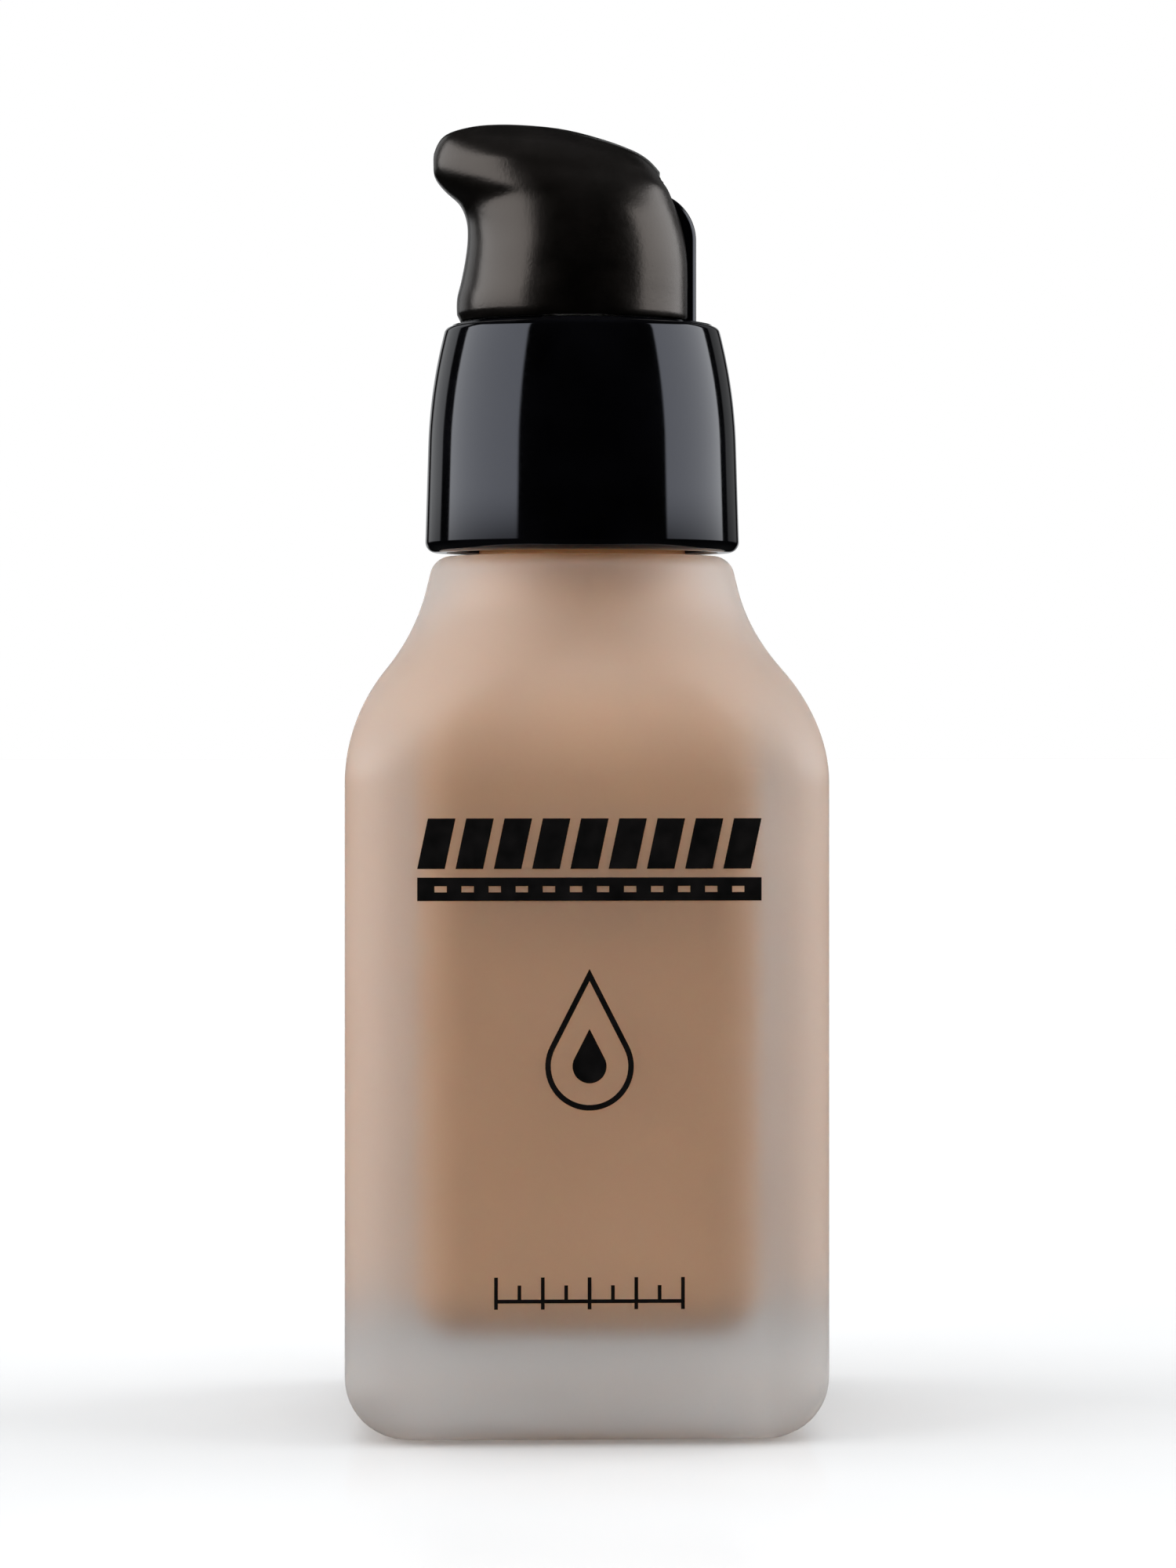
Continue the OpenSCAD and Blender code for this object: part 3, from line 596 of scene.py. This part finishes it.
def build_guard():
    """The rib behind the push head: sunk in the collar, flared where it leaves it, and round at its end."""
    back_x = GUARD_R - GUARD_T
    top_c = (GUARD_R - GUARD_TOP_R, GUARD_TOP_Z - GUARD_TOP_R)
    edge_r = 0.45
    apex = math.degrees(math.acos((back_x + 2 * edge_r - top_c[0]) / GUARD_TOP_R))
    embedded_r = MOUTH_R + 0.4
    root = [(embedded_r, CLOSURE_TOP_Z + 0.05), (embedded_r, COLLAR_TOP_Z - 0.35),
            (GUARD_R + 0.5, COLLAR_TOP_Z - 0.15), (GUARD_R + 0.2, COLLAR_TOP_Z - 0.02),
            (GUARD_R, COLLAR_TOP_Z + 0.25), (GUARD_R, COLLAR_TOP_Z + 3)]
    dome = arc(top_c, GUARD_TOP_R, 0, apex, 18)
    rings = [rounded_slab(back_x, x, GUARD_W / 2, edge_r, z) for x, z in root + dome]
    guard = piece("rear_guard_rib", loft(rings), "closure", [GLOSS_BLACK], sharp=60)
    return guard


# ---------------------------------------------------------------- push head
# Rings as in the CAD model: front beyond the skirt's front and its height, back in from the
# skirt's back and its height, sides in, and how much the front half narrows.
HEAD_RINGS = (
    (-0.2, 0, 0, 0, 0.05, 0),
    (0, 0.6, 0, 0.6, 0, 0),
    (0, 2, 0, 2, 0, 0),
    (-0.35, 3.5, 0, 3.5, 0.05, 0),
    (-0.7, 5.3, 0.05, 5.3, 0.15, 0),
    (-0.9, 7.1, 0.3, 7.1, 0.35, 0.05),
    (-0.8, 8.7, 0.7, 8.7, 0.65, 0.1),
    (-0.2, 10.1, 1.15, 10.1, 1.05, 0.2),
    (1.1, 11.3, 1.6, 11.3, 1.45, 0.3),
    (1.9, 12.4, 2.35, 12.3, 1.95, 0.35),
    (2.1, 13.8, 3.25, 13.4, 2.55, 0.35),
    (1.6, 15.3, 4.05, 14.1, 3.45, 0.3),
    (0.7, 16.1, 5.15, 14.7, 4.55, 0.2),
    (-1.2, 16.65, 7.25, 15.5, 6.25, 0.1),
    (-3.2, 16.85, 10.45, 16.4, 7.85, 0),
    (-5.2, 16.88, 13.4, 16.74, 9.15, 0),
)
# The skirt is hollow up to ring HOLLOW_TOP. The skin has HEAD_STEPS steps from ring to ring.
HOLLOW_TOP = 8
HEAD_STEPS = 5
SECTION_POINTS = 90
# How pointed the front is, from nothing at NOSE_START above the skirt's foot to all at NOSE_FULL.
NOSE_POWER = 0.75
NOSE_START = 3.5
NOSE_FULL = 11.0
SKIRT_FRONT_R = MOUTH_R - MOUTH_GAP
SKIRT_R = SKIRT_FRONT_R - SKIRT_FRONT_OUT
# The slot in the back, round the guard.
SLOT_X = GUARD_R - GUARD_T - VISIBLE_GAP
SLOT_HALF_W = GUARD_W / 2 + VISIBLE_GAP
SLOT_LIP_R = 0.25


def between_rings(t):
    """Ring values at t, counted in rings from the bottom, on a smooth curve through the rings."""
    k = min(int(t), len(HEAD_RINGS) - 2)
    u = t - k
    pick = [HEAD_RINGS[min(max(k + d, 0), len(HEAD_RINGS) - 1)] for d in (-1, 0, 1, 2)]
    return [
        0.5 * (2 * b + (c - a) * u + (2 * a - 5 * b + 4 * c - d) * u ** 2 + (3 * b - a - 3 * c + d) * u ** 3)
        for a, b, c, d in zip(*pick)
    ]


def slot_steps(half_w):
    """One side of the slot, from the head's back to the slot's floor.

    Each step has its distance from the middle, its depth, and whether the depth is up from the floor.
    """
    near, far = 0.1 * SLOT_LIP_R, 0.4 * SLOT_LIP_R
    lip = [(half_w + SLOT_LIP_R, 0), (half_w + far, near), (half_w + near, far), (half_w, SLOT_LIP_R)]
    fillet = [(half_w, SLOT_LIP_R), (half_w - near, far), (half_w - far, near), (half_w - SLOT_LIP_R, 0)]
    floor = [(0.4 * half_w, 0)]
    return [(y, depth, False) for y, depth in lip] + [(y, depth, True) for y, depth in fillet + floor]


def head_ring(t, inset=0.0, lift=0.0):
    """One ring of the push head, drawn in by inset, with the guard's slot in its back."""
    most_share = 0.9
    front, front_z, back, back_z, side, narrowing = between_rings(t)
    x0 = inset - SKIRT_FRONT_R - front
    x1 = SKIRT_R - back - inset
    w = SKIRT_R - side - inset
    mid, half = (x0 + x1) / 2, (x1 - x0) / 2
    slot_x, slot_w = SLOT_X - inset, SLOT_HALF_W + inset

    def place(x, y):
        return x, y, ACTUATOR_Z + lift + front_z + (back_z - front_z) * (1 + (x - mid) / half) / 2

    def slot_point(y, depth, from_floor):
        y = max(-most_share * w, min(most_share * w, y))
        x = mid + half * math.sqrt(1 - (y / w) ** 2)
        full = max(0.0, x - slot_x)
        return place(x - (max(0.0, full - depth) if from_floor else min(depth, full)), y)

    one_side = slot_steps(slot_w)
    slot = [slot_point(-y, depth, on_floor) for y, depth, on_floor in one_side]
    slot += [slot_point(0, 0, True)]
    slot += [slot_point(y, depth, on_floor) for y, depth, on_floor in reversed(one_side)]
    start = math.asin(min(most_share, (slot_w + SLOT_LIP_R) / w))
    section = []
    for i in range(1, SECTION_POINTS):
        a = start + (2 * math.pi - 2 * start) * i / SECTION_POINTS
        along = math.cos(a)
        power = 1 + (NOSE_POWER - 1) * ease(-along, 0, 1) * ease(front_z, NOSE_START, NOSE_FULL)
        narrow = 1 - narrowing * max(0.0, -along) ** 2
        y = w * math.copysign(abs(math.sin(a)) ** power, math.sin(a)) * narrow
        section.append(place(mid + half * along, y))
    return slot + section


def build_head():
    """The matte shell: hollow skirt, round rim, beak and crowned top."""
    last = len(HEAD_RINGS) - 1
    rim_r = 0.2
    hollow = [head_ring(HOLLOW_TOP - k / 2, ACTUATOR_WALL) for k in range(2 * HOLLOW_TOP)]
    rim = [head_ring(0, ACTUATOR_WALL, rim_r), head_ring(0, ACTUATOR_WALL - 0.75 * rim_r, 0),
           head_ring(0, rim_r, 0), head_ring(0, 0.3 * rim_r, 0.3 * rim_r), head_ring(0, 0, rim_r)]
    outside = [head_ring(1 + k / HEAD_STEPS) for k in range((last - 1) * HEAD_STEPS + 1)]
    head = piece("push_head_shell", loft(hollow + rim + outside), "push_head", [SOFT_BLACK], sharp=35)
    cut_nozzle_bore(head)
    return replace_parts(head, "actuator_shell")


def cut_nozzle_bore(head):
    """Opens the beak for its outlet bush."""
    fit, past_beak = 0.03, 3.0
    ends = (low("nozzle_insert").x - past_beak, high("nozzle_insert").x)
    rings = [outlet_ring(x, OUTLET_R + fit, 48) for x in ends]
    cutter = piece("bore_cutter", loft(rings), "push_head", [BLACK_PLASTIC])
    modifier = head.modifiers.new("bore", "BOOLEAN")
    modifier.object = cutter
    modifier.operation = "DIFFERENCE"
    modifier.solver = "EXACT"
    graph = bpy.context.evaluated_depsgraph_get()
    cut = bpy.data.meshes.new_from_object(head.evaluated_get(graph))
    head.modifiers.clear()
    head.data = cut
    bpy.data.objects.remove(cutter)
    cut.shade_smooth()
    cut.set_sharp_from_angle(angle=math.radians(35))


def build_nozzle():
    """The outlet bush, with a rounded mouth."""
    mouth, root = low("nozzle_insert").x, high("nozzle_insert").x
    edge = 0.15
    outline = (
        [(OUTLET_R, root)]
        + arc((OUTLET_R - edge, mouth + edge), edge, 0, -90, 4)
        + arc((OUTLET_HOLE_R + edge, mouth + edge), edge, 270, 180, 4)
        + [(OUTLET_HOLE_R, root)]
    )
    rings = [outlet_ring(x, r, 64) for r, x in outline]
    nozzle = piece("outlet_bush", loft(rings, close=True), "push_head", [BLACK_PLASTIC])
    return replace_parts(nozzle, "nozzle_insert")


# ---------------------------------------------------------------- spring
def build_spring():
    """The return spring, a wire coil that rides on the push head."""
    wire_r, coil_r, turns, steps, sides = 0.3, 2.9, 6, 40, 14
    end_rise = 2.2 * wire_r
    bottom, top = low("return_spring").z + wire_r, high("return_spring").z - wire_r
    middle_rise = (top - bottom - 2 * end_rise) / (turns - 2)

    def height(turn):
        """The first and the last turn are nearly closed, and the turns between them are even."""
        if turn < 1:
            return bottom + end_rise * turn
        if turn > turns - 1:
            return top - end_rise * (turns - turn)
        return bottom + end_rise + middle_rise * (turn - 1)

    points = []
    for i in range(turns * steps + 1):
        a = 2 * math.pi * i / steps
        points.append((coil_r * math.cos(a), coil_r * math.sin(a), height(i / steps)))
    spring = piece("return_spring_coil", tube_along(points, wire_r, sides), "push_head", [STEEL])
    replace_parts(spring, "return_spring")
    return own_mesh(spring)


# ---------------------------------------------------------------- carried-over CAD nodes
def dress_cad_nodes():
    """Materials for the pieces whose CAD shape is the final one."""
    looks = {
        "front_print": INK, "dip_tube": NATURAL_PLASTIC, "pump_housing": NATURAL_PLASTIC,
        "inlet_ball": STEEL, "piston": WHITE_PLASTIC, "piston_seat": WHITE_PLASTIC,
        "stem": WHITE_PLASTIC, "housing_lock_ring": WHITE_PLASTIC, "neck_gasket": FOAM,
        "screw_closure": BLACK_PLASTIC, "actuator_core": WHITE_PLASTIC,
    }
    for name, material in looks.items():
        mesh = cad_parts[name].data
        mesh.materials.clear()
        mesh.materials.append(material)


# ---------------------------------------------------------------- studio
CAMERA_DISTANCE = 400.0
CAMERA_Z = 63.0
CAMERA_SIDE = -12.0
CAMERA_YAW = -1.79
FOCAL_LENGTH = 107.4
FRAME_SHIFT = -0.0703


def build_camera():
    """Level with the upper part of the bottle, a little to the left of its middle."""
    data = bpy.data.cameras.new("camera")
    data.lens = FOCAL_LENGTH
    data.shift_y = FRAME_SHIFT
    data.clip_start = 0.01
    camera = bpy.data.objects.new("camera", data)
    bpy.context.scene.collection.objects.link(camera)
    camera.location = Vector((CAMERA_SIDE, -CAMERA_DISTANCE, CAMERA_Z)) * MM
    camera.rotation_euler = (math.radians(90), 0, math.radians(CAMERA_YAW))
    bpy.context.scene.camera = camera


def build_floor():
    """A pale, faintly glossy floor, which the bottle neither reflects nor is lit by."""
    size = 3000.0
    verts = [(-size, -size, 0), (size, -size, 0), (size, size, 0), (-size, size, 0)]
    mesh = bpy.data.meshes.new("floor")
    mesh.from_pydata([Vector(v) * MM for v in verts], [], [(0, 1, 2, 3)])
    floor = bpy.data.objects.new("floor", mesh)
    bpy.context.scene.collection.objects.link(floor)
    material, tree, shader = new_material(
        "floor", Specular_IOR_Level=0.0, Emission_Color=(1, 1, 1, 1), Emission_Strength=0.12)
    cloud = add_noise(tree, 20, detail=2)
    vary_colour(tree, shader, cloud, (0.41, 0.41, 0.41), (0.43, 0.43, 0.43))
    polish = tree.nodes.new("ShaderNodeBsdfGlossy")
    polish.inputs["Roughness"].default_value = 0.08
    mix = tree.nodes.new("ShaderNodeMixShader")
    mix.inputs["Fac"].default_value = 0.18
    tree.links.new(shader.outputs["BSDF"], mix.inputs[1])
    tree.links.new(polish.outputs["BSDF"], mix.inputs[2])
    tree.links.new(mix.outputs["Shader"], tree.nodes["Material Output"].inputs["Surface"])
    mesh.materials.append(material)
    floor.visible_diffuse = False
    floor.visible_glossy = False
    floor.visible_transmission = False


class Sky:
    """Builds lights in the surroundings from their direction, as nodes of the world's tree."""

    def __init__(self, tree):
        self.tree = tree
        coords = tree.nodes.new("ShaderNodeTexCoord")
        split = tree.nodes.new("ShaderNodeSeparateXYZ")
        tree.links.new(coords.outputs["Generated"], split.inputs["Vector"])
        self.x, self.y, self.z = split.outputs
        across = self.calc("SQRT", self.calc("ADD", self.calc("MULTIPLY", self.x, self.x),
                                             self.calc("MULTIPLY", self.y, self.y)))
        self.behind = self.calc("DIVIDE", self.y, across)

    def calc(self, operation, a, b=None):
        """A Math node on numbers or sockets."""
        node = self.tree.nodes.new("ShaderNodeMath")
        node.operation = operation
        for socket, value in zip(node.inputs, (a, b)):
            if isinstance(value, (int, float)):
                socket.default_value = value
            elif value is not None:
                self.tree.links.new(value, socket)
        return node.outputs[0]

    def above(self, value, edge, soft):
        """0 below the edge and 1 above it."""
        node = self.tree.nodes.new("ShaderNodeMapRange")
        node.interpolation_type = "SMOOTHSTEP"
        node.inputs["From Min"].default_value = edge - soft
        node.inputs["From Max"].default_value = edge + soft
        self.tree.links.new(value, node.inputs["Value"])
        return node.outputs["Result"]

    def window(self, value, start, end, soft):
        """1 from start to end and 0 outside."""
        return self.calc("MULTIPLY", self.above(value, start, soft),
                         self.calc("SUBTRACT", 1, self.above(value, end, soft)))

    def patch(self, side, from_back, to_back, top, strength):
        """A light from the horizon up to top, between two angles from straight behind.

        It is on the side given by the sign of side.
        """
        azimuth = self.window(self.behind, math.cos(math.radians(to_back)),
                              math.cos(math.radians(from_back)), PATCH_SIDE_SOFT)
        flank = self.above(self.calc("MULTIPLY", self.x, side), 0, 0.001)
        height = self.window(self.z, 0, math.sin(math.radians(top)), PATCH_TOP_SOFT)
        return self.calc("MULTIPLY", self.calc("MULTIPLY", azimuth, flank),
                         self.calc("MULTIPLY", height, strength))


# Azimuths are in degrees from straight behind the bottle, tops are elevations in degrees, and
# strengths are radiances. The soft widths and the sines are of a direction's own parts. Rays that
# aren't glossy see the studio brighter, by DIFFUSE_BOOST times.
PATCH_SIDE_SOFT = 0.02
PATCH_TOP_SOFT = 0.05
LEFT_BOX = (63, 130)
RIGHT_BOX = (56, 117)
BOX_TOP = 38
BOX_STRENGTH = 2.4
LEFT_FILL = (24, 50)
RIGHT_FILL = (24, 46)
FILL_TOP = 35
LEFT_FILL_STRENGTH = 0.55
RIGHT_FILL_STRENGTH = 0.2
GLOW_HALF_W = 16
GLOW_TOP = 16
GLOW_BOTTOM_SINE = -0.1
GLOW_STRENGTH = 0.5
BELOW_FROM_SINE = 0.3
BELOW_STRENGTH = 0.02
OVERHEAD_FROM = 42
OVERHEAD_STRENGTH = 0.9
AMBIENT = 0.001
DIFFUSE_BOOST = 2.1


def build_world():
    """White where the camera looks past the bottle, and a photographic studio for all other light."""
    world = bpy.data.worlds.new("studio")
    bpy.context.scene.world = world
    world.use_nodes = True
    tree = world.node_tree
    tree.nodes.clear()
    sky = Sky(tree)
    path = tree.nodes.new("ShaderNodeLightPath")
    boxes = sky.calc("ADD", sky.patch(-1, *LEFT_BOX, BOX_TOP, BOX_STRENGTH),
                     sky.patch(1, *RIGHT_BOX, BOX_TOP, BOX_STRENGTH))
    fills = sky.calc("ADD", sky.patch(-1, *LEFT_FILL, FILL_TOP, LEFT_FILL_STRENGTH),
                     sky.patch(1, *RIGHT_FILL, FILL_TOP, RIGHT_FILL_STRENGTH))
    glow = sky.calc("MULTIPLY", sky.above(sky.behind, math.cos(math.radians(GLOW_HALF_W)), 0.01),
                    sky.window(sky.z, GLOW_BOTTOM_SINE, math.sin(math.radians(GLOW_TOP)), 0.05))
    glow = sky.calc("MULTIPLY", glow, GLOW_STRENGTH)
    downward = sky.calc("MULTIPLY", sky.z, -1)
    below = sky.calc("MULTIPLY", sky.above(downward, BELOW_FROM_SINE, 0.2), BELOW_STRENGTH)
    overhead = sky.calc("MULTIPLY", sky.above(sky.z, math.sin(math.radians(OVERHEAD_FROM)), 0.1),
                        OVERHEAD_STRENGTH)
    # Only glossy rays see the glow, and only the others see the overhead light.
    is_gloss = path.outputs["Is Glossy Ray"]
    not_gloss = sky.calc("SUBTRACT", 1, is_gloss)
    overhead = sky.calc("MULTIPLY", overhead, not_gloss)
    glow = sky.calc("MULTIPLY", glow, is_gloss)
    light = AMBIENT
    for part in (boxes, fills, below, overhead):
        light = sky.calc("ADD", light, part)
    boost = sky.calc("ADD", 1, sky.calc("MULTIPLY", not_gloss, DIFFUSE_BOOST))
    light = sky.calc("ADD", glow, sky.calc("MULTIPLY", light, boost))
    studio = tree.nodes.new("ShaderNodeBackground")
    studio.inputs["Color"].default_value = (0.97, 0.985, 1.0, 1)
    tree.links.new(light, studio.inputs["Strength"])
    white = tree.nodes.new("ShaderNodeBackground")
    white.inputs["Color"].default_value = (1, 1, 1, 1)
    mix = tree.nodes.new("ShaderNodeMixShader")
    tree.links.new(path.outputs["Is Camera Ray"], mix.inputs["Fac"])
    tree.links.new(studio.outputs["Background"], mix.inputs[1])
    tree.links.new(white.outputs["Background"], mix.inputs[2])
    output = tree.nodes.new("ShaderNodeOutputWorld")
    tree.links.new(mix.outputs["Shader"], output.inputs["Surface"])
    bpy.context.scene.view_settings.view_transform = "Standard"


build_camera()
build_bottle()
build_thread()
build_liquid()
build_collar()
build_guard()
build_head()
build_nozzle()
build_spring()
dress_cad_nodes()
build_floor()
build_world()
